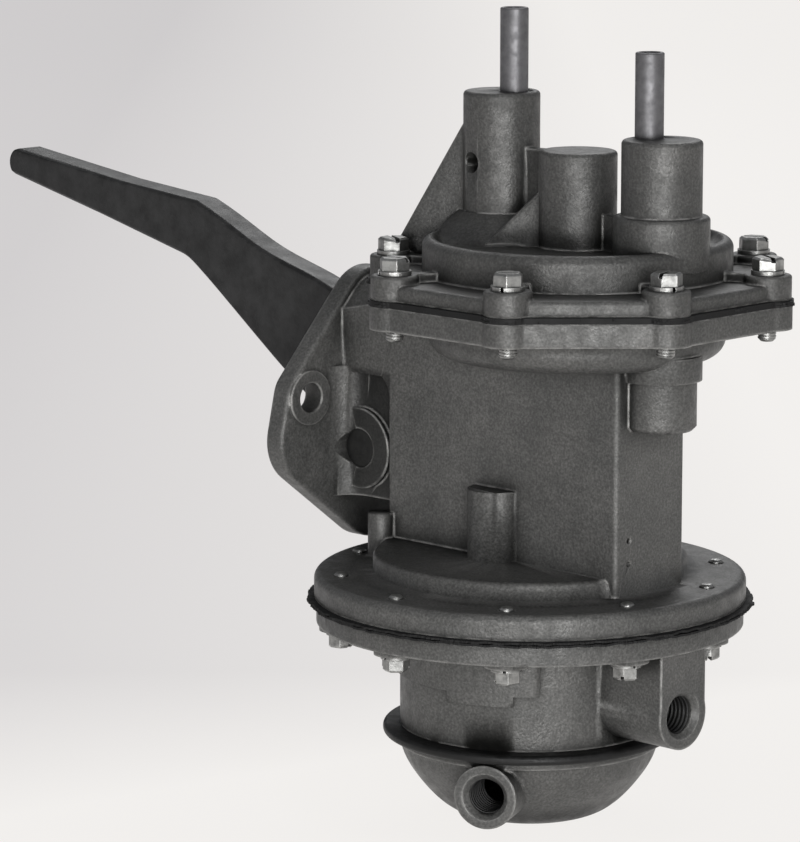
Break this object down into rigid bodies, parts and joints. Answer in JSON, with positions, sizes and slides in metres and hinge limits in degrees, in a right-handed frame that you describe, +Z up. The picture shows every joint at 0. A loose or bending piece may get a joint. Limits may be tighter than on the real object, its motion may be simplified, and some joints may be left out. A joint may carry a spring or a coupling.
{
  "type": "mechanical fuel pump",
  "caption": "Engine-driven fuel pump with a vacuum booster on top: a forged rocker arm works a fuel diaphragm below and a vacuum diaphragm above.",
  "frame": {"origin": "centre of the mounting face, midway between the two bolt holes", "axes": "+X from the engine face into the pump body, Y along the rocker pin, +Z up towards the vacuum tubes"},
  "size_m": [0.2938, 0.1258, 0.2285],
  "materials": {
    "cast_metal": "dull sand-blasted die casting, darkened with age",
    "dark_steel": "forged steel with a near-black oiled finish",
    "plain_steel": "plain steel",
    "tube_steel": "drawn steel tube, lightly polished",
    "zinc_steel": "zinc plated, dulled",
    "diaphragm_fabric": "rubber-coated cloth",
    "black_rubber": "moulded black rubber",
    "valve_rubber": "hard valve rubber",
    "spring_steel": "spring wire",
    "brass": "plain brass"
  },
  "bodies": {
    "housing": {"main_body": "cast_metal", "rocker_pin": "plain_steel", "rocker_pin_plugs": "plain_steel", "oil_seal": "black_rubber", "oil_seal_retainer": "plain_steel", "valve_body": "cast_metal", "valve_body_screws": "zinc_steel", "valve_body_lock_washers": "zinc_steel", "bowl_seal": "black_rubber", "inlet_bowl": "cast_metal", "bowl_screw": "zinc_steel", "bowl_screw_washer": "zinc_steel", "filter_screen": "brass", "vacuum_cover": "cast_metal", "vacuum_cover_screws": "zinc_steel", "vacuum_cover_lock_washers": "zinc_steel", "suction_tube": "tube_steel", "manifold_tube": "tube_steel", "fuel_inlet_valve_cage": "brass", "fuel_outlet_valve_cage": "brass", "vacuum_inlet_valve_cage": "brass", "vacuum_outlet_valve_cage": "brass"},
    "arm": {"rocker_arm": "dark_steel", "rocker_arm_spring": "spring_steel"},
    "fuel_link": {"fuel_link": "plain_steel"},
    "vacuum_link": {"vacuum_link": "plain_steel"},
    "fuel_diaphragm_group": {"fuel_rod": "plain_steel", "fuel_rod_nut": "zinc_steel", "fuel_upper_plate": "plain_steel", "fuel_lower_plate": "plain_steel", "fuel_diaphragm": "diaphragm_fabric", "fuel_diaphragm_spring": "spring_steel"},
    "vacuum_diaphragm_group": {"vacuum_rod": "plain_steel", "vacuum_rod_nut": "zinc_steel", "vacuum_upper_plate": "plain_steel", "vacuum_lower_plate": "plain_steel", "vacuum_diaphragm": "diaphragm_fabric", "vacuum_diaphragm_spring": "spring_steel"},
    "fuel_inlet_valve": {"fuel_inlet_valve_disc": "valve_rubber", "fuel_inlet_valve_spring": "spring_steel"},
    "fuel_outlet_valve": {"fuel_outlet_valve_disc": "valve_rubber", "fuel_outlet_valve_spring": "spring_steel"},
    "vacuum_inlet_valve": {"vacuum_inlet_valve_disc": "valve_rubber", "vacuum_inlet_valve_spring": "spring_steel"},
    "vacuum_outlet_valve": {"vacuum_outlet_valve_disc": "valve_rubber", "vacuum_outlet_valve_spring": "spring_steel"}
  },
  "joints": [
    {"name": "rocker_arm_pivot", "type": "hinge", "parent": "housing", "child": "arm", "pos_m": [0.012, 0, -0.0158], "axis": [0, -1, 0], "range_deg": [0, 5], "stiffness_Nm_per_rad": 4, "springref_deg": -22.92, "deforming": ["rocker_arm_spring"]},
    {"name": "fuel_link_pivot", "type": "hinge", "parent": "housing", "child": "fuel_link", "pos_m": [0.012, 0, -0.0158], "axis": [0, -1, 0], "range_deg": [0, 5.1]},
    {"name": "vacuum_link_pivot", "type": "hinge", "parent": "housing", "child": "vacuum_link", "pos_m": [0.012, 0, -0.0158], "axis": [0, -1, 0], "range_deg": [0, 5.1]},
    {"name": "fuel_diaphragm_stroke", "type": "slide", "parent": "housing", "child": "fuel_diaphragm_group", "axis": [0, 0, 1], "range_m": [0, 0.0053], "stiffness_N_per_m": 800, "springref_m": -0.005, "deforming": ["fuel_diaphragm", "fuel_diaphragm_spring"]},
    {"name": "vacuum_diaphragm_stroke", "type": "slide", "parent": "housing", "child": "vacuum_diaphragm_group", "axis": [0, 0, 1], "range_m": [0, 0.0067], "stiffness_N_per_m": 600, "springref_m": -0.005, "deforming": ["vacuum_diaphragm", "vacuum_diaphragm_spring"]},
    {"name": "fuel_inlet_valve_lift", "type": "slide", "parent": "housing", "child": "fuel_inlet_valve", "axis": [0, 0, 1], "range_m": [0, 0.0012], "stiffness_N_per_m": 100, "springref_m": -0.002, "deforming": ["fuel_inlet_valve_spring"]},
    {"name": "fuel_outlet_valve_lift", "type": "slide", "parent": "housing", "child": "fuel_outlet_valve", "axis": [0, 0, -1], "range_m": [0, 0.0012], "stiffness_N_per_m": 100, "springref_m": -0.002, "deforming": ["fuel_outlet_valve_spring"]},
    {"name": "vacuum_inlet_valve_lift", "type": "slide", "parent": "housing", "child": "vacuum_inlet_valve", "axis": [0, 0, -1], "range_m": [0, 0.0012], "stiffness_N_per_m": 100, "springref_m": -0.002, "deforming": ["vacuum_inlet_valve_spring"]},
    {"name": "vacuum_outlet_valve_lift", "type": "slide", "parent": "housing", "child": "vacuum_outlet_valve", "axis": [0, 0, 1], "range_m": [0, 0.0012], "stiffness_N_per_m": 100, "springref_m": -0.002, "deforming": ["vacuum_outlet_valve_spring"]}
  ],
  "couplings": [
    {"joint": "fuel_link_pivot", "follows": "rocker_arm_pivot", "ratio": 1},
    {"joint": "vacuum_link_pivot", "follows": "rocker_arm_pivot", "ratio": 1},
    {"joint": "fuel_diaphragm_stroke", "follows": "rocker_arm_pivot", "m_per_rad": 0.06},
    {"joint": "vacuum_diaphragm_stroke", "follows": "rocker_arm_pivot", "m_per_rad": 0.0758}
  ]
}
